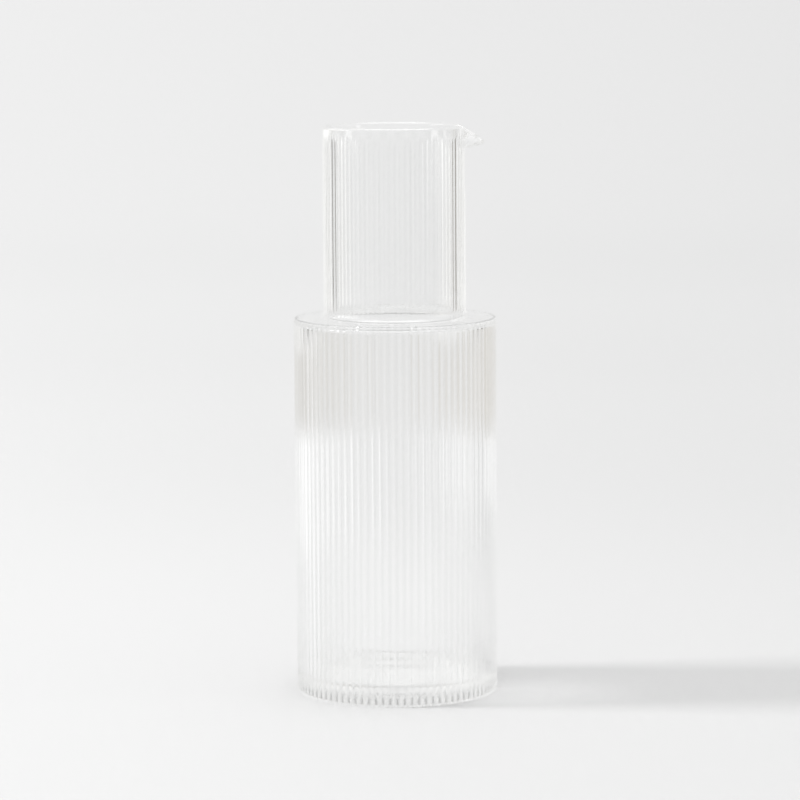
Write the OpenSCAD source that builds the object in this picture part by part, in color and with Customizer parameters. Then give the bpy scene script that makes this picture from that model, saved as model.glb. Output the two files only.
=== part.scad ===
// Ribbed glass water carafe: a wide straight body, a flat shoulder, a straight
// neck and a rim with one pulled pouring lip. The glass is drawn in the sections
// that a glassworker names, each meeting the next face to face.
// Millimetres, +Z up, origin at the middle of the foot, lip towards +X.

/* [Body] */
// Diameter of the body over the ribs
body_d = 100; // [94:1:106]
// Height of the flat shoulder above the table
shoulder_z = 186.4; // [172:0.2:200]
// Thickness of the body wall over the ribs
body_t = 2.6; // [2.2:0.1:3.4]
// Thickness of the foot under the inside floor
base_t = 10; // [8:0.2:12]
// Rounding of the foot's outer edge
foot_round = 2; // [1.6:0.2:4]
// Rise of the hollow under the foot
foot_hollow = 2; // [0.4:0.1:2.4]
// Diameter of the hollow under the foot
foot_hollow_d = 88; // [60:1:90]

/* [Shoulder] */
// Thickness of the shoulder's flat
shoulder_t = 2.2; // [2:0.1:3.4]
// Rounding of the shoulder's outer edge
shoulder_round = 1.4; // [1:0.2:2.8]
// Rounding of the inside corner under the shoulder
shoulder_corner = 1.4; // [1:0.2:3]
// Fillet between the shoulder and the neck
neck_fillet = 4; // [1.5:0.5:5]

/* [Neck] */
// Diameter of the neck over the ribs
neck_d = 70.4; // [66:0.2:74]
// Thickness of the neck wall over the ribs
neck_t = 3.3; // [2.6:0.1:4]
// Height at which the ribs of the neck give way to the smooth mouth
neck_top_z = 264; // [250:1:264]

/* [Ribs] */
// Number of ribs round the body and round the neck
rib_count = 88; // [60:1:96]
// Height of a body rib
body_rib = 0.5; // [0.3:0.1:0.9]
// Height of a neck rib
neck_rib = 0.15; // [0.1:0.05:0.7]

/* [Mouth] */
// Height of the rim above the table
total_h = 281; // [280:1:288]

/* [Pouring lip] */
// Half of the angle that the lip takes out of the rim
lip_half = 20; // [16:1:30]
// How far the rim is folded out at the middle of the lip
lip_fold = 75; // [50:1:80]
// Height below the rim at which the fold starts
lip_drop = 11.5; // [9:0.1:12.5]
// Radius of the fold
lip_bend = 3; // [2.5:0.1:5]
// How much the sides of the lip spread: 0 straight out, 1 radially
lip_spread = 0.35; // [0:0.05:1]

/* [Hidden] */
$fn = 96;
glass = [0.93, 0.95, 0.94, 0.4];

body_r = body_d / 2;
body_in = body_r - body_t;
neck_r = neck_d / 2;
neck_in = neck_r - neck_t;
floor_round = 1.2;
body_lo = base_t + floor_round;
body_hi = shoulder_z - shoulder_t - shoulder_corner - 0.6;
neck_lo = shoulder_z + neck_fillet;
rim_t = neck_t - neck_rib;
rim_half = rim_t / 2;
rim_mid_r = neck_in + rim_half;
rim_mid_z = total_h - rim_half;
rib_steps = 4;
wall_steps = 16;
bead_steps = 8;
lip_steps = 32;
edge_steps = 4;

// Height of a rounded rib at t, from 0 at one groove to 1 at the next
function rib_at(t) = sin(180 * t);

// Outline of a ribbed round: peak radius r, rib height h
function rib_outline(r, h) = [
    for (i = [0 : rib_count * rib_steps - 1])
        let (a = 360 * i / (rib_count * rib_steps),
             q = r - h + h * rib_at((i % rib_steps) / rib_steps))
        [q * cos(a), q * sin(a)]
];

module ribbed(r, h, z0, z1) {
    translate([0, 0, z0]) linear_extrude(height = z1 - z0) polygon(rib_outline(r, h));
}

// Rounded edge of radius q at the rim of a round of radius r, starting from the flat at height z
// and going the way d (1 up, -1 down), in short cones that all cross the ribs at an angle
function edge(r, q, z, d) = [
    for (i = [0 : edge_steps])
        let (t = 90 * i / edge_steps)
        [r - q + (q + 0.2) * sin(t), z + d * (q + 0.2) * (1 - cos(t)) * q / (q + 0.2)]
];

// A bore of radius r from z0 to z1
module bore(r, z0, z1) {
    translate([0, 0, z0]) cylinder(r = r, h = z1 - z0);
}

// Thick foot: ribbed outside, rounded to the table, hollowed a little underneath
module base_disc() {
    color(glass) difference() {
        intersection() {
            ribbed(body_r, body_rib, 0, body_lo);
            rotate_extrude() polygon(concat([[0, 0]], edge(body_r, foot_round, 0, 1),
                [[body_r + 1, foot_round + 1], [body_r + 1, body_lo + 1], [0, body_lo + 1]]));
        }
        // inside floor with its rounded corner
        rotate_extrude() union() {
            translate([0, base_t]) square([body_in - floor_round, 10]);
            translate([0, body_lo]) square([body_in, 10]);
            translate([body_in - floor_round, body_lo]) circle(r = floor_round);
        }
        // hollow under the foot
        translate([0, 0, -0.001]) cylinder(r1 = foot_hollow_d / 2, r2 = 8, h = foot_hollow);
    }
}

// Straight ribbed wall of the body
module body_wall() {
    color(glass) difference() {
        ribbed(body_r, body_rib, body_lo, body_hi);
        bore(body_in, body_lo - 1, body_hi + 1);
    }
}

// Flat shoulder: rounded edge outside, fillet up to the neck
module shoulder_ring() {
    color(glass) difference() {
        union() {
            intersection() {
                ribbed(body_r, body_rib, body_hi, shoulder_z);
                rotate_extrude() polygon(concat([[0, shoulder_z]], edge(body_r, shoulder_round, shoulder_z, -1),
                    [[body_r + 1, shoulder_z - shoulder_round - 1], [body_r + 1, body_hi - 1], [0, body_hi - 1]]));
            }
            rotate_extrude() difference() {
                translate([0, shoulder_z - 1]) square([neck_r - neck_rib + neck_fillet, neck_fillet + 1]);
                translate([neck_r - neck_rib + neck_fillet, neck_lo]) circle(r = neck_fillet);
            }
        }
        // inside of the body under the flat, with its rounded corner
        rotate_extrude() union() {
            translate([0, body_hi - 10]) square([body_in, 10 + 0.6]);
            translate([0, body_hi]) square([body_in - shoulder_corner, shoulder_z - shoulder_t - body_hi]);
            translate([body_in - shoulder_corner, body_hi + 0.6]) circle(r = shoulder_corner);
        }
        bore(neck_in, body_hi - 1, neck_lo + 1);
    }
}

// Straight ribbed wall of the neck
module neck_wall() {
    color(glass) difference() {
        ribbed(neck_r, neck_rib, neck_lo, neck_top_z);
        bore(neck_in, neck_lo - 1, neck_top_z + 1);
    }
}

// Height of a point of the wall, from 0 at the neck to 1 at the middle of the rim
function wall_z(t) = neck_top_z + (rim_mid_z - neck_top_z) * t;

// How far the wall has turned outwards at height z in the middle of the lip
function turn(z) = min(max(z - (rim_mid_z - lip_drop), 0) / lip_bend * 180 / PI, lip_fold);

// Outward shift and height of the folded wall's middle line
function fold_x(z) = let (s = max(z - (rim_mid_z - lip_drop), 0), t = turn(z), arc = lip_bend * t * PI / 180)
    lip_bend * (1 - cos(t)) + (s - arc) * sin(t);
function fold_z(z) = let (s = max(z - (rim_mid_z - lip_drop), 0), t = turn(z), arc = lip_bend * t * PI / 180)
    min(z, rim_mid_z - lip_drop) + lip_bend * sin(t) + (s - arc) * cos(t);

// Share of the fold at angle a from the middle of the lip
function lip_at(a) = abs(a) >= lip_half ? 0 : pow(cos(90 * a / lip_half), 2);

// A point of the wall at angle a and height z, u across the wall (1 outside, -1 inside), v past the rim
function wall_point(a, z, u, v) =
    let (w = lip_at(a), t = turn(z), n = rim_mid_r + u * rim_half, k = lip_spread * a,
         x = w * (fold_x(z) + u * rim_half * (cos(t) - 1) + v * rim_half * sin(t)),
         up = (1 - w) * (z + v * rim_half) + w * (fold_z(z) - u * rim_half * sin(t) + v * rim_half * cos(t)))
    [n * cos(a) + x * cos(k), n * sin(a) + x * sin(k), up];

// The closed outline of the wall at angle a: up the outside, over the rim, down the inside
function wall_section(a) = concat(
    [for (i = [0 : wall_steps]) wall_point(a, wall_z(i / wall_steps), 1, 0)],
    [for (i = [1 : bead_steps - 1]) wall_point(a, rim_mid_z, cos(180 * i / bead_steps), sin(180 * i / bead_steps))],
    [for (i = [wall_steps : -1 : 0]) wall_point(a, wall_z(i / wall_steps), -1, 0)]);

// The plain section, as radius and height
function plain_section() = concat(
    [[rim_mid_r + rim_half, neck_top_z]],
    [for (i = [0 : bead_steps]) [rim_mid_r + rim_half * cos(180 * i / bead_steps), rim_mid_z + rim_half * sin(180 * i / bead_steps)]],
    [[neck_in, neck_top_z]]);

// Smooth top of the neck and its rounded rim, open where the lip is
module mouth_rim() {
    color(glass) rotate_extrude(angle = 360 - 2 * lip_half, start = lip_half) polygon(plain_section());
}

// The stretch of rim that is folded outwards to pour
module pouring_lip() {
    rows = [for (j = [0 : lip_steps]) wall_section(-lip_half + 2 * lip_half * j / lip_steps)];
    m = len(rows[0]);
    // each end is closed by a ladder between the outside and the inside of the wall
    last = lip_steps * m;
    faces = concat(
        [for (i = [0 : floor(m / 2) - 1]) each i + 1 < m - 2 - i
            ? [[i, i + 1, m - 1 - i], [i + 1, m - 2 - i, m - 1 - i]] : [[i, i + 1, m - 1 - i]]],
        [for (i = [0 : floor(m / 2) - 1]) each i + 1 < m - 2 - i
            ? [[last + i, last + m - 1 - i, last + i + 1], [last + i + 1, last + m - 1 - i, last + m - 2 - i]]
            : [[last + i, last + m - 1 - i, last + i + 1]]],
        [for (j = [0 : lip_steps - 1]) for (i = [0 : m - 1]) let (k = (i + 1) % m)
            each [[j * m + i, (j + 1) * m + k, j * m + k], [j * m + i, (j + 1) * m + i, (j + 1) * m + k]]]);
    color(glass) polyhedron(points = [for (r = rows) each r], faces = faces, convexity = 6);
}

base_disc();
body_wall();
shoulder_ring();
neck_wall();
mouth_rim();
pouring_lip();
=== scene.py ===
"""Ribbed glass carafe: one continuous skin of clear glass on a pale seamless floor."""

import math

import bmesh
import bpy
import numpy as np
from mathutils import Matrix, Vector


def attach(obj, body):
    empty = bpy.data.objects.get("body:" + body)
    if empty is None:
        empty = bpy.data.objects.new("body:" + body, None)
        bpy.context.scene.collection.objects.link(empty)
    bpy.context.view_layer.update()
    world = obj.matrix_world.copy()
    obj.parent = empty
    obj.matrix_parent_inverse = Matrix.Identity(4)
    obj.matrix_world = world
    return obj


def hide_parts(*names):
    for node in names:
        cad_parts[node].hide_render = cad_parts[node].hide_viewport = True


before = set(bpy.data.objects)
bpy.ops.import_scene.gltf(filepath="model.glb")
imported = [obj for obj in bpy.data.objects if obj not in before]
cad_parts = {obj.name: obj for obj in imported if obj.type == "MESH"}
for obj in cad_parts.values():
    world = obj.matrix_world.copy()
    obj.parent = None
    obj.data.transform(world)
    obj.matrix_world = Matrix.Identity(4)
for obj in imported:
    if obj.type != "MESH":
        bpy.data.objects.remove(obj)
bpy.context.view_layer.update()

MM = 0.001

# ---------------------------------------------------------------------------
# Sizes in millimetres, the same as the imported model's
# ---------------------------------------------------------------------------
BODY_R = 50.0
BODY_IN = 47.4
SHOULDER_Z = 186.4
SHOULDER_T = 2.2
SHOULDER_ROUND = 1.4
SHOULDER_CORNER = 1.4
BASE_T = 10.0
FLOOR_ROUND = 1.2
FLOOR_RISE = 1.2
FOOT_ROUND = 2.0
FOOT_HOLLOW = 2.0
FOOT_HOLLOW_R = 44.0
FLOOR_DOME = 0.25
GROOVE_IN = 22.0
NECK_R = 35.2
NECK_IN = 31.9
NECK_FILLET = 4.0
NECK_TOP = 264.0
TOTAL_H = 281.0
RIBS = 88
BODY_RIB = 0.5
NECK_RIB = 0.15
LIP_HALF = math.radians(20.0)
LIP_FOLD = math.radians(75.0)
LIP_DROP = 11.5
LIP_BEND = 3.0
LIP_SPREAD = 0.35

RIM_HALF = (NECK_R - NECK_RIB - NECK_IN) / 2
RIM_MID_R = NECK_IN + RIM_HALF
RIM_MID = TOTAL_H - RIM_HALF

# places across one rib, from groove to groove
ACROSS = np.arange(12) / 12.0
PER_RIB = len(ACROSS)
KEEP = 3  # the smooth surfaces keep one column in three
COLS = RIBS * PER_RIB
IN_COLS = COLS // KEEP

theta = ((np.arange(RIBS)[:, None] + ACROSS[None, :]) * (2 * np.pi / RIBS)).ravel()
theta = np.where(theta > np.pi, theta - 2 * np.pi, theta)
theta_in = theta[::KEEP]
across = np.tile(ACROSS, RIBS)


def smooth(t):
    t = np.clip(t, 0.0, 1.0)
    return t * t * (3 - 2 * t)


# one rib across its width: a smooth wave, its back a little rounder than its groove
def rib_wave(t, soft):
    q = np.sqrt(np.sin(np.pi * t) ** 2 + soft) - math.sqrt(soft)
    return q / (math.sqrt(1 + soft) - math.sqrt(soft))


RIB_BODY = rib_wave(across, 0.6)
RIB_NECK = 0.5 - 0.5 * np.cos(2 * np.pi * across)


# slow unevenness of blown glass, a few hundredths of a millimetre
def waver(a, z, seed):
    return (
        0.5 * np.sin(3 * a + 0.031 * z + seed)
        + 0.3 * np.sin(7 * a - 0.047 * z + 2.1 * seed)
        + 0.2 * np.sin(13 * a + 0.083 * z + 3.7 * seed)
    )


def ring(a, r, z, out=0.0, nr=1.0, nz=0.0):
    """A ring of radius r at height z, moved by out along the profile's normal (nr, nz)."""
    q = r + out * nr + 0 * a
    return np.stack([q * np.cos(a), q * np.sin(a), z + out * nz + 0 * a], axis=1)


def lip_share(a):
    return np.where(np.abs(a) < LIP_HALF, np.cos(np.clip(a / LIP_HALF, -1, 1) * np.pi / 2) ** 2, 0.0)


def wall_row(a, z, u, v, out=0.0):
    """A ring of the neck's top at height z: u across the wall (1 outside, -1 inside), v past the rim."""
    w = lip_share(a)
    s = max(z - (RIM_MID - LIP_DROP), 0.0)
    t = min(s / LIP_BEND, LIP_FOLD)
    arc = LIP_BEND * t
    fold_x = LIP_BEND * (1 - math.cos(t)) + (s - arc) * math.sin(t)
    fold_z = min(z, RIM_MID - LIP_DROP) + LIP_BEND * math.sin(t) + (s - arc) * math.cos(t)
    d = u * RIM_HALF + out * (1 - w)
    x = w * (fold_x + d * (math.cos(t) - 1) + v * RIM_HALF * math.sin(t))
    up = (1 - w) * (z + v * RIM_HALF) + w * (fold_z - d * math.sin(t) + v * RIM_HALF * math.cos(t))
    n = RIM_MID_R + d
    k = LIP_SPREAD * a
    return np.stack([n * np.cos(a) + x * np.cos(k), n * np.sin(a) + x * np.sin(k), up], axis=1)


# ---------------------------------------------------------------------------
# The skin, ring by ring: from the middle of the underside up the outside to the rim, down to the inside floor
# ---------------------------------------------------------------------------
rows = []
lo_body = BODY_R - BODY_RIB
lo_neck = NECK_R - NECK_RIB
b = theta_in

# underside: a gentle hollow out to the standing ring
def hollow(r):
    return FOOT_HOLLOW * max(1 - (r / FOOT_HOLLOW_R) ** 2, 0.0) ** 2


def groove(r):
    """Depth of the grooves between the ribs where they run in under the foot."""
    return -BODY_RIB * (1 - RIB_BODY) * float(smooth((r - GROOVE_IN) / (BODY_R - FOOT_ROUND - GROOVE_IN)))


for r in (6, 12, 18):
    rows.append(ring(b, r, hollow(r)))
for r in (22, 27, 32, 36, 39.5, 42.5, 45, 46.8):
    rows.append(ring(theta, r, hollow(r), groove(r), 0.0, -1.0))
# rounded foot, with the ribs running down over it
for i in range(0, 10):
    a = math.pi / 2 * i / 9
    rows.append(ring(theta, BODY_R - FOOT_ROUND * (1 - math.sin(a)), FOOT_ROUND * (1 - math.cos(a)), groove(BODY_R), math.sin(a), -math.cos(a)))
# body wall; a ring close to each rounding keeps the long walls straight in the shading too
for z in (FOOT_ROUND + 0.4, 3.6, 5.6, SHOULDER_Z - SHOULDER_ROUND - 0.4, SHOULDER_Z - SHOULDER_ROUND):
    rows.append(ring(theta, lo_body, z, BODY_RIB * RIB_BODY))
# edge of the shoulder, where each rib ends in a small round shoulder of its own
c = lo_body - SHOULDER_ROUND
for i in range(1, 10):
    a = math.pi / 2 * i / 9
    rib = BODY_RIB * RIB_BODY * float(1 - smooth((math.degrees(a) - 30) / 55))
    rows.append(ring(theta, c + SHOULDER_ROUND * math.cos(a), SHOULDER_Z - SHOULDER_ROUND * (1 - math.sin(a)), rib, math.cos(a), math.sin(a)))
# flat of the shoulder and fillet up to the neck
f0 = lo_neck + NECK_FILLET
rows.append(ring(theta, c - 0.4, SHOULDER_Z))
rows.append(ring(theta, f0 + 0.4, SHOULDER_Z))
for i in range(0, 10):
    a = math.pi / 2 * i / 9
    rib = NECK_RIB * RIB_NECK * float(smooth((i - 3) / 6.0))
    rows.append(ring(theta, f0 - NECK_FILLET * math.sin(a), SHOULDER_Z + NECK_FILLET * (1 - math.cos(a)), rib, math.sin(a), math.cos(a)))
# neck, then the smooth band under the rim with the lip folded out of it
for z in (SHOULDER_Z + NECK_FILLET + 0.4, 245):
    rows.append(ring(theta, lo_neck, z, NECK_RIB * RIB_NECK))
for z in (264, 267.2, 268.0, 268.7, 269.4, 270.1, 270.9, 271.8, 273.0, 274.4, 276.0, 277.4):
    rows.append(wall_row(theta, z, 1.0, 0.0, NECK_RIB * RIB_NECK * float(1 - smooth((z - 274.0) / 3.4))))
# rim
rows.append(wall_row(b, 278.2, 1.0, 0.0))
rows.append(wall_row(b, 278.9, 1.0, 0.0))
for i in range(0, 17):
    a = math.pi * i / 16
    rows.append(wall_row(b, RIM_MID, math.cos(a), math.sin(a)))
# inside of the neck
for z in (278.6, 277.4, 276.0, 274.4, 273.0, 271.8, 270.9, 270.1, 269.4, 268.7, 268.0, 267.2, 264.5, 260):
    rows.append(wall_row(b, z, -1.0, 0.0))
for z in (245, 228, 210, 194, SHOULDER_Z - SHOULDER_T + 1.9, SHOULDER_Z - SHOULDER_T + 1.5):
    rows.append(ring(b, NECK_IN, z, 0.02 * waver(b, z, 2.2)))
for i in range(1, 7):
    a = math.pi / 2 * i / 6
    rows.append(ring(b, NECK_IN + 1.5 * (1 - math.cos(a)), SHOULDER_Z - SHOULDER_T + 1.5 * (1 - math.sin(a))))
# inside of the body
rows.append(ring(b, NECK_IN + 1.9, SHOULDER_Z - SHOULDER_T))
rows.append(ring(b, BODY_IN - SHOULDER_CORNER - 0.4, SHOULDER_Z - SHOULDER_T))
for i in range(0, 9):
    a = math.pi / 2 * i / 8
    rows.append(ring(b, BODY_IN - SHOULDER_CORNER * (1 - math.sin(a)), SHOULDER_Z - SHOULDER_T - SHOULDER_CORNER * (1 - math.cos(a))))
for z in (SHOULDER_Z - SHOULDER_T - SHOULDER_CORNER - 0.4, 162, 142, 122, 102, 82, 62, 42, 26, BASE_T + FLOOR_RISE + 0.4, BASE_T + FLOOR_RISE):
    rows.append(ring(b, BODY_IN, z, 0.03 * waver(b, z, 5.1) * float(smooth((z - BASE_T - FLOOR_RISE) / 20))))
for i in range(1, 11):
    a = math.pi / 2 * i / 10
    rows.append(ring(b, BODY_IN - FLOOR_ROUND * (1 - math.cos(a)), BASE_T + FLOOR_RISE * (1 - math.sin(a))))
flat_r = BODY_IN - FLOOR_ROUND
for f in (0.99, 0.92, 0.81, 0.69, 0.55, 0.40, 0.26, 0.12):
    rows.append(ring(b, f * flat_r, BASE_T + FLOOR_DOME * (1 - f * f) ** 2))

# painted shade: the glass's colour is darkened along the grooves, most of all at the rib ends by the foot,
# and round the edges of the shoulder, outside and where the bore meets it; it stands in for the dark lines the
# glass shows there
def painted_groove_shade(row):
    z, r = row[:, 2].mean(), float(np.hypot(row[:, 0], row[:, 1]).max())
    if len(row) != COLS:
        at_edge = r < NECK_IN + 1.6 and abs(z - (SHOULDER_Z - SHOULDER_T + 0.6)) < 0.5
        return np.full(len(row), EDGE_SHADE if at_edge else 0.0)
    if SHOULDER_Z - 0.4 < z < SHOULDER_Z and r > BODY_R - 1.5:
        return np.full(len(row), EDGE_SHADE)
    if z < SHOULDER_Z:
        by_foot = float(smooth((z - 0.3) / 0.9) * smooth((5.6 - z) / 2.4))
        return (WALL_SHADE + (FOOT_SHADE - WALL_SHADE) * by_foot) * (1 - RIB_BODY) ** 2 * (r > BODY_R - FOOT_ROUND)
    return NECK_SHADE * (1 - RIB_NECK) ** 2 * float(z > SHOULDER_Z + 2) * float(1 - smooth((z - 268) / 8))


# how dark the painted shade is on the body's grooves, at the rib ends by the foot, on the neck's grooves and at the
# shoulder's edges
WALL_SHADE, FOOT_SHADE, NECK_SHADE, EDGE_SHADE = 0.10, 0.60, 0.07, 0.45
painted_shade = np.concatenate([painted_groove_shade(row) for row in rows] + [np.zeros(2)])
verts = np.concatenate(rows) * MM
starts = np.cumsum([0] + [len(r) for r in rows]).tolist()
lo_pole = len(verts)
hi_pole = lo_pole + 1
verts = verts.tolist() + [(0.0, 0.0, FOOT_HOLLOW * MM), (0.0, 0.0, (BASE_T + FLOOR_DOME) * MM)]
faces = []
for i in range(len(rows) - 1):
    s0, s1, n0, n1 = starts[i], starts[i + 1], len(rows[i]), len(rows[i + 1])
    if n0 == n1:
        faces += [(s0 + j, s0 + (j + 1) % n0, s1 + (j + 1) % n0, s1 + j) for j in range(n0)]
        continue
    # strip where three columns meet one
    fine, coarse = (s0, s1) if n0 > n1 else (s1, s0)
    for j in range(IN_COLS):
        o = [fine + (KEEP * j + q) % COLS for q in range(KEEP + 1)]
        p, q = coarse + j, coarse + (j + 1) % IN_COLS
        faces += [(o[0], o[1], p), (o[1], o[2], p), (o[2], q, p), (o[2], o[3], q)]
last = starts[-2]
faces += [(lo_pole, (j + 1) % IN_COLS, j) for j in range(IN_COLS)]
faces += [(hi_pole, last + j, last + (j + 1) % IN_COLS) for j in range(IN_COLS)]

me = bpy.data.meshes.new("carafe_glass")
me.from_pydata(verts, [], faces)
me.validate()
bm = bmesh.new()
bm.from_mesh(me)
bmesh.ops.recalc_face_normals(bm, faces=bm.faces)
bm.to_mesh(me)
bm.free()
me.polygons.foreach_set("use_smooth", [True] * len(me.polygons))
# the painted shade goes to the material as the 'groove' attribute
me.attributes.new("groove", "FLOAT", "POINT").data.foreach_set("value", painted_shade)
glass_ob = bpy.data.objects.new("carafe_glass", me)
bpy.context.scene.collection.objects.link(glass_ob)


# ---------------------------------------------------------------------------
# Glass: clear soda glass with a trace of handling haze, a slight olive body colour, and painted shade darkening it
# along the grooves and at the edges
# ---------------------------------------------------------------------------
def glass_material():
    m = bpy.data.materials.new("clear_glass")
    m.use_nodes = True
    nt = m.node_tree
    p = nt.nodes["Principled BSDF"]
    p.inputs["IOR"].default_value = 1.5
    p.inputs["Transmission Weight"].default_value = 1.0
    co = nt.nodes.new("ShaderNodeTexCoord")

    def noise(scale, stretch, detail):
        mp = nt.nodes.new("ShaderNodeMapping")
        mp.inputs["Scale"].default_value = stretch
        n = nt.nodes.new("ShaderNodeTexNoise")
        n.inputs["Scale"].default_value = scale
        n.inputs["Detail"].default_value = detail
        nt.links.new(co.outputs["Object"], mp.inputs["Vector"])
        nt.links.new(mp.outputs[0], n.inputs["Vector"])
        return n.outputs["Fac"]

    # handling haze: clear nearly everywhere, a little softer in patches
    haze = nt.nodes.new("ShaderNodeMapRange")
    haze.inputs["From Min"].default_value = 0.45
    haze.inputs["From Max"].default_value = 0.8
    haze.inputs["To Min"].default_value = 0.0
    haze.inputs["To Max"].default_value = 0.02
    nt.links.new(noise(38.0, (1, 1, 1), 4.0), haze.inputs["Value"])
    nt.links.new(haze.outputs[0], p.inputs["Roughness"])
    # slight change of tint through the glass
    tint = nt.nodes.new("ShaderNodeValToRGB")
    tint.color_ramp.elements[0].color = (0.996, 0.998, 0.995, 1)
    tint.color_ramp.elements[1].color = (1.0, 1.0, 1.0, 1)
    nt.links.new(noise(14.0, (1, 1, 0.4), 2.0), tint.inputs["Fac"])
    # painted shade: the 'groove' attribute darkens the base colour along the grooves and at the edges
    groove = nt.nodes.new("ShaderNodeAttribute")
    groove.attribute_name = "groove"
    clear = nt.nodes.new("ShaderNodeMath")
    clear.operation = "SUBTRACT"
    clear.inputs[0].default_value = 1.0
    nt.links.new(groove.outputs["Fac"], clear.inputs[1])
    tone = nt.nodes.new("ShaderNodeVectorMath")
    tone.operation = "SCALE"
    nt.links.new(tint.outputs["Color"], tone.inputs[0])
    nt.links.new(clear.outputs[0], tone.inputs["Scale"])
    nt.links.new(tone.outputs[0], p.inputs["Base Color"])
    vol = nt.nodes.new("ShaderNodeVolumeAbsorption")
    vol.inputs["Color"].default_value = (0.80, 0.80, 0.78, 1)
    vol.inputs["Density"].default_value = 2.0
    nt.links.new(vol.outputs[0], nt.nodes["Material Output"].inputs["Volume"])
    return m


glass_ob.data.materials.append(glass_material())
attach(glass_ob, "root")
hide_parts("base_disc", "body_wall", "shoulder_ring", "neck_wall", "mouth_rim", "pouring_lip")


# ---------------------------------------------------------------------------
# Pale seamless stage
# ---------------------------------------------------------------------------
def stage_mesh():
    prof = [(0.0, 0.0), (0.2, 0.0), (0.6, 0.0), (1.2, 0.0), (2.0, 0.0), (2.6, 0.0)]
    for i in range(1, 13):
        a = math.radians(62) * i / 12
        prof.append((2.6 + 1.8 * math.sin(a), 1.8 * (1 - math.cos(a))))
    n = 96
    vs = [(0.0, 0.0, -0.0002)]
    for r, z in prof[1:]:
        for j in range(n):
            a = 2 * math.pi * j / n
            vs.append((r * math.cos(a), r * math.sin(a), z - 0.0002))
    fs = [(0, 1 + j, 1 + (j + 1) % n) for j in range(n)]
    for i in range(len(prof) - 2):
        for j in range(n):
            k = (j + 1) % n
            fs.append((1 + i * n + j, 1 + (i + 1) * n + j, 1 + (i + 1) * n + k, 1 + i * n + k))
    me = bpy.data.meshes.new("stage_floor")
    me.from_pydata(vs, [], fs)
    for poly in me.polygons:
        poly.use_smooth = True
    ob = bpy.data.objects.new("stage_floor", me)
    bpy.context.scene.collection.objects.link(ob)
    m = bpy.data.materials.new("pale_paper")
    m.use_nodes = True
    nt = m.node_tree
    p = nt.nodes["Principled BSDF"]

    def link(a, b):
        nt.links.new(a, b)

    def value(op, a, b):
        n = nt.nodes.new("ShaderNodeMath")
        n.operation = op
        for k, v in enumerate((a, b)):
            if isinstance(v, (int, float)):
                n.inputs[k].default_value = v
            else:
                link(v, n.inputs[k])
        return n.outputs[0]

    def soft(v, lo, hi, at_lo, at_hi, kind="SMOOTHSTEP"):
        n = nt.nodes.new("ShaderNodeMapRange")
        n.interpolation_type = kind
        for name, x in (("From Min", lo), ("From Max", hi), ("To Min", at_lo), ("To Max", at_hi)):
            n.inputs[name].default_value = x
        link(v, n.inputs["Value"])
        return n.outputs[0]

    geo = nt.nodes.new("ShaderNodeNewGeometry")
    xyz = nt.nodes.new("ShaderNodeSeparateXYZ")
    link(geo.outputs["Position"], xyz.inputs[0])
    px, py = xyz.outputs["X"], xyz.outputs["Y"]
    far = value("SQRT", value("ADD", value("MULTIPLY", px, px), value("MULTIPLY", py, py)), 0.0)
    # the paper's grey with painted light and shade in it: lighter towards the far sweep, darker to the right, and
    # darker near the light on the left to even out its falloff
    ramp = nt.nodes.new("ShaderNodeValToRGB")
    ramp.color_ramp.interpolation = "EASE"
    stops = ((0.0, 0.80), (0.06, 0.80), (0.16, 0.79), (0.30, 0.81), (0.5, 0.84), (0.7, 0.86))
    while len(ramp.color_ramp.elements) < len(stops):
        ramp.color_ramp.elements.new(0.5)
    for e, (pos, v) in zip(ramp.color_ramp.elements, stops):
        e.position, e.color = pos, (v, v, v, 1)
    link(value("DIVIDE", far, 4.2), ramp.inputs["Fac"])
    # painted shade: the paper is made up to 5% darker to the right; the same lean with depth places the painted
    # light on the left below
    lean = value("MULTIPLY", py, 0.11)
    right = soft(value("SUBTRACT", px, lean), 0.21, 0.45, 1.0, 0.95)
    # painted light: a faint glow on the floor to the left
    left = soft(value("MULTIPLY", value("ADD", px, lean), -1.0), 0.21, 0.45, 0.0, 0.04)
    shade = nt.nodes.new("ShaderNodeVectorMath")
    shade.operation = "SCALE"
    link(ramp.outputs["Color"], shade.inputs[0])
    # painted shade: the paper is darker near the light on the left, down to 0.58 of its grey, evening out the
    # light's falloff
    kx = value("ADD", px, 1.7)
    near_key = value("SQRT", value("ADD", value("MULTIPLY", kx, kx), value("MULTIPLY", py, py)), 0.0)
    link(value("MULTIPLY", right, soft(near_key, 0.2, 1.6, 0.58, 1.0)), shade.inputs["Scale"])
    link(shade.outputs[0], p.inputs["Base Color"])
    p.inputs["Roughness"].default_value = 0.9
    p.inputs["Specular IOR Level"].default_value = 0.1
    # painted light: the far sweep glows a little, more on the left
    sweep = value("MULTIPLY", soft(far, 0.5, 2.4, 0.0, 1.0), soft(px, -0.6, 0.6, 0.075, 0.015, "LINEAR"))
    # painted light: glow on the paper under the foot and beside it, standing in for the light that the glass
    # gathers there
    under = soft(far, 0.0470, 0.0500, 0.18, 0.0)
    beside = value("MULTIPLY", value("MULTIPLY", soft(far, 0.045, 0.140, 0.12, 0.0), soft(px, 0.02, 0.05, 0.0, 1.0)), value("MULTIPLY", soft(py, -0.01, 0.03, 1.0, 0.0), soft(py, -0.060, -0.035, 0.0, 1.0)))
    # painted light: the paper's emission adds up these glows
    glow = value("ADD", value("ADD", sweep, under), value("ADD", beside, value("MULTIPLY", left, soft(far, 0.9, 1.6, 1.0, 0.0))))
    p.inputs["Emission Color"].default_value = (1, 1, 1, 1)
    link(glow, p.inputs["Emission Strength"])
    m.cycles.emission_sampling = "NONE"
    me.materials.append(m)
    return ob


stage = stage_mesh()


def window(v, lo, hi, soft_lo, soft_hi):
    """1 between lo and hi, fading to 0 over the soft edges inside them."""
    return float(smooth((v - lo) / soft_lo) * smooth((hi - v) / soft_hi))


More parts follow.
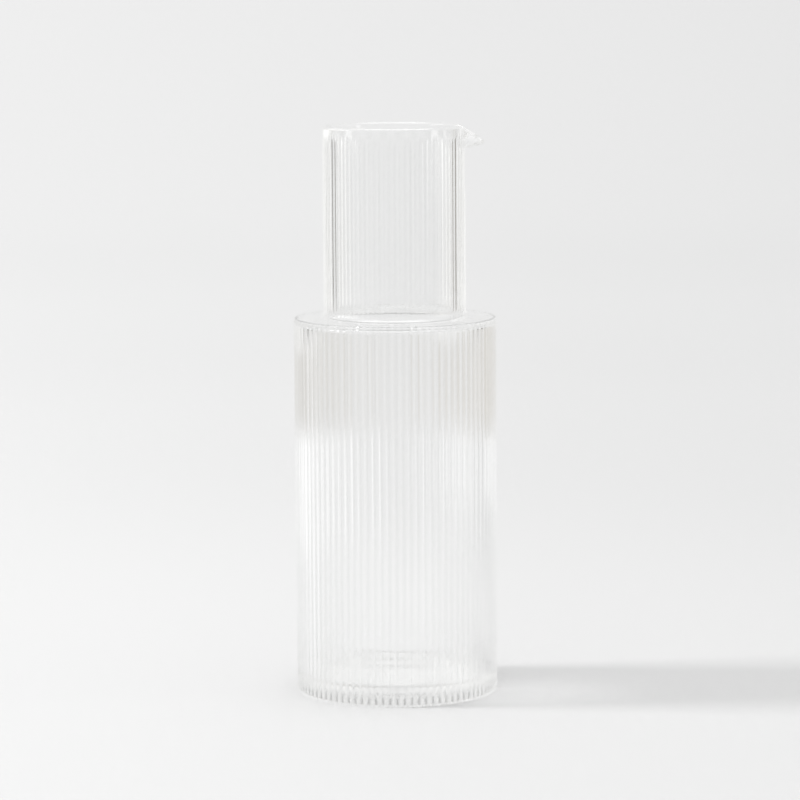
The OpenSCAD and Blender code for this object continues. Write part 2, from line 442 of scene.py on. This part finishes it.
def arc_card(name, turn, soft, r, z0, z1, soft_lo, soft_hi, colour, strength=1.0, through=True, flat=False):
    """A curved soft-edged card round the object; turn is from and to in degrees from +Y towards +X.
    A flat card lies at height r instead, from radius z0 to z1."""
    na, nz = 40, 20
    vs, fade, fs = [], [], []
    for i in range(nz + 1):
        z = z0 + (z1 - z0) * (i / nz) ** 1.5
        for j in range(na + 1):
            d = turn[0] + (turn[1] - turn[0]) * j / na
            a = math.radians(d)
            out, high = (z, r) if flat else (r, z)
            vs.append((out * math.sin(a), out * math.cos(a), high))
            fade.append(window(d, turn[0], turn[1], soft, soft) * window(z, z0, z1, soft_lo, soft_hi))
    for i in range(nz):
        for j in range(na):
            k = i * (na + 1) + j
            fs.append((k, k + 1, k + na + 2, k + na + 1))
    me = bpy.data.meshes.new(name)
    me.from_pydata(vs, [], fs)
    me.attributes.new("fade", "FLOAT", "POINT").data.foreach_set("value", fade)
    ob = bpy.data.objects.new(name, me)
    bpy.context.scene.collection.objects.link(ob)
    m = bpy.data.materials.new(name)
    m.use_nodes = True
    nt = m.node_tree
    nt.nodes.remove(nt.nodes["Principled BSDF"])
    at = nt.nodes.new("ShaderNodeAttribute")
    at.attribute_name = "fade"
    em = nt.nodes.new("ShaderNodeEmission")
    em.inputs["Color"].default_value = (*colour, 1)
    em.inputs["Strength"].default_value = strength
    clear = nt.nodes.new("ShaderNodeBsdfTransparent")
    mix = nt.nodes.new("ShaderNodeMixShader")
    nt.links.new(at.outputs["Fac"], mix.inputs["Fac"])
    nt.links.new(clear.outputs[0], mix.inputs[1])
    nt.links.new(em.outputs[0], mix.inputs[2])
    nt.links.new(mix.outputs[0], nt.nodes["Material Output"].inputs["Surface"])
    m.cycles.emission_sampling = "NONE"
    me.materials.append(m)
    ob.visible_camera = False
    ob.visible_diffuse = False
    ob.visible_shadow = False
    ob.visible_transmission = through
    return ob


def top_card(name, xs, ys, z, strength):
    """A flat panel overhead that only shows in reflections."""
    me = bpy.data.meshes.new(name)
    me.from_pydata([(xs[0], ys[0], z), (xs[1], ys[0], z), (xs[1], ys[1], z), (xs[0], ys[1], z)], [], [(0, 1, 2, 3)])
    ob = bpy.data.objects.new(name, me)
    bpy.context.scene.collection.objects.link(ob)
    m = bpy.data.materials.new(name)
    m.use_nodes = True
    nt = m.node_tree
    nt.nodes.remove(nt.nodes["Principled BSDF"])
    em = nt.nodes.new("ShaderNodeEmission")
    em.inputs["Strength"].default_value = strength
    nt.links.new(em.outputs[0], nt.nodes["Material Output"].inputs["Surface"])
    m.cycles.emission_sampling = "NONE"
    me.materials.append(m)
    ob.visible_camera = False
    ob.visible_diffuse = False
    ob.visible_shadow = False
    ob.visible_transmission = False
    return ob


# painted shade: glowing dark and grey cards, seen only in the glass, stand in for the darker room beyond both sides
# of the sweep
arc_card("dark_left", (-70, -49), 7, 0.86, 0.085, 0.30, 0.04, 0.02, (0.22, 0.21, 0.20))
arc_card("dark_right", (49, 70), 7, 0.86, 0.085, 0.30, 0.04, 0.02, (0.22, 0.20, 0.175))
arc_card("side_left", (-92, -62), 10, 0.865, 0.085, 0.20, 0.04, 0.05, (0.62, 0.605, 0.585))
arc_card("side_right", (62, 92), 10, 0.865, 0.085, 0.20, 0.04, 0.05, (0.62, 0.595, 0.555))
arc_card("wide_left", (-128, -56), 18, 0.87, 0.0, 0.115, 0.05, 0.055, (0.80, 0.79, 0.775))
arc_card("wide_right", (56, 128), 18, 0.87, 0.0, 0.115, 0.05, 0.055, (0.80, 0.78, 0.75))
arc_card("mild_left", (-66, -14), 12, 0.88, 0.0, 0.13, 0.03, 0.06, (0.74, 0.725, 0.70))
arc_card("mild_right", (14, 66), 12, 0.88, 0.0, 0.13, 0.03, 0.06, (0.74, 0.715, 0.675))
# painted light: glowing flat sheets just above the floor, seen only in the glass, stand in for bright paper beside
# the picture, which the sides of the body show
arc_card("white_left", (-64, -16), 12, 0.0007, 0.34, 1.00, 0.24, 0.08, (1.12, 1.12, 1.12), flat=True)
arc_card("white_right", (18, 60), 12, 0.0007, 0.52, 1.00, 0.22, 0.08, (1.0, 1.0, 1.0), flat=True)
# painted light: glowing cards, seen only in the glass, stand in for the bright ends of the sweep, which the edges
# of the neck show
arc_card("glow_left", (-47, -14), 8, 0.855, 0.085, 0.30, 0.03, 0.03, (1.13, 1.13, 1.11))
arc_card("glow_right", (14, 47), 8, 0.855, 0.085, 0.30, 0.03, 0.03, (1.13, 1.13, 1.11))
# painted reflections and highlights: glowing cards seen only in the glass for what stands on the camera's side,
# which the ribs reflect as fine lines; white panels at both sides and overhead; the key's own panel, which the
# glass shows in place of the key lamp
for k, mid in enumerate((100, 124, 148, 172, 196, 220, 244, 268)):
    arc_card("front_%d" % k, (mid - 8, mid + 8), 4, 0.72, 0.0, 0.45, 0.10, 0.10, (0.2, 0.2, 0.2), through=False)
arc_card("front_low", (92, 268), 16, 0.0006, 0.06, 0.72, 0.03, 0.40, (1.6, 1.6, 1.6), through=False, flat=True)
arc_card("panel_left", (-124, -84), 10, 0.90, 0.20, 0.60, 0.04, 0.20, (1, 1, 1), 3.0, through=False)
arc_card("panel_right", (84, 124), 10, 0.90, 0.16, 0.60, 0.08, 0.20, (1, 1, 1), 3.0, through=False)
top_card("panel_top", (-0.45, 0.45), (-0.35, 0.25), 0.95, 4.0)
arc_card("panel_key", (-106, -74), 3, 1.67, 0.55, 1.35, 0.1, 0.1, (1, 1, 1), 4.0)


# ---------------------------------------------------------------------------
# Light
# ---------------------------------------------------------------------------
def area(name, pos, target, size, size_y, power, colour=(1, 1, 1)):
    d = bpy.data.lights.new(name, "AREA")
    d.shape = "RECTANGLE"
    d.size, d.size_y = size, size_y
    d.energy = power
    d.color = colour
    ob = bpy.data.objects.new(name, d)
    ob.location = pos
    ob.rotation_euler = (Vector(target) - Vector(pos)).to_track_quat("-Z", "Y").to_euler()
    bpy.context.scene.collection.objects.link(ob)
    ob.visible_camera = False
    ob.visible_glossy = False
    ob.visible_transmission = False
    return ob


area("key", (-2.1, 0.0, 1.21), (0, 0, 0.05), 0.5, 0.5, 28)

w = bpy.data.worlds.new("studio")
bpy.context.scene.world = w
w.use_nodes = True
w.node_tree.nodes["Background"].inputs["Color"].default_value = (1.0, 1.0, 1.0, 1)
w.node_tree.nodes["Background"].inputs["Strength"].default_value = 0.87

# ---------------------------------------------------------------------------
# Camera at the photograph's viewing angle
# ---------------------------------------------------------------------------
F_PX, DIST, HEIGHT, PITCH, YAW, ROLL = 3653.3, 1.7982, 0.3721, 7.205, 0.0718, -0.383
cam_data = bpy.data.cameras.new("camera")
cam_data.sensor_width = 36.0
cam_data.lens = F_PX / 800 * 36.0
cam_data.clip_start, cam_data.clip_end = 0.05, 50
cam = bpy.data.objects.new("camera", cam_data)
bpy.context.scene.collection.objects.link(cam)
pi, ya, ro = (math.radians(v) for v in (PITCH, YAW, ROLL))
fwd = Vector((math.sin(ya) * math.cos(pi), math.cos(ya) * math.cos(pi), -math.sin(pi)))
right = Vector((math.cos(ya), -math.sin(ya), 0))
up = right.cross(fwd)
r2 = math.cos(ro) * right + math.sin(ro) * up
u2 = -math.sin(ro) * right + math.cos(ro) * up
rot = Matrix((r2, u2, -fwd)).transposed()
cam.matrix_world = Matrix.Translation((0, -DIST, HEIGHT)) @ rot.to_4x4()
bpy.context.scene.camera = cam

sc = bpy.context.scene
sc.view_settings.view_transform = "Standard"
sc.view_settings.look = "None"
sc.cycles.max_bounces = 160
sc.cycles.transmission_bounces = 160
sc.cycles.glossy_bounces = 160
sc.cycles.transparent_max_bounces = 32
sc.cycles.diffuse_bounces = 4
sc.cycles.caustics_refractive = True
sc.cycles.caustics_reflective = False
sc.cycles.use_denoising = True
sc.cycles.denoising_input_passes = "RGB"
sc.cycles.blur_glossy = 0.0
sc.cycles.sample_clamp_indirect = 3.0
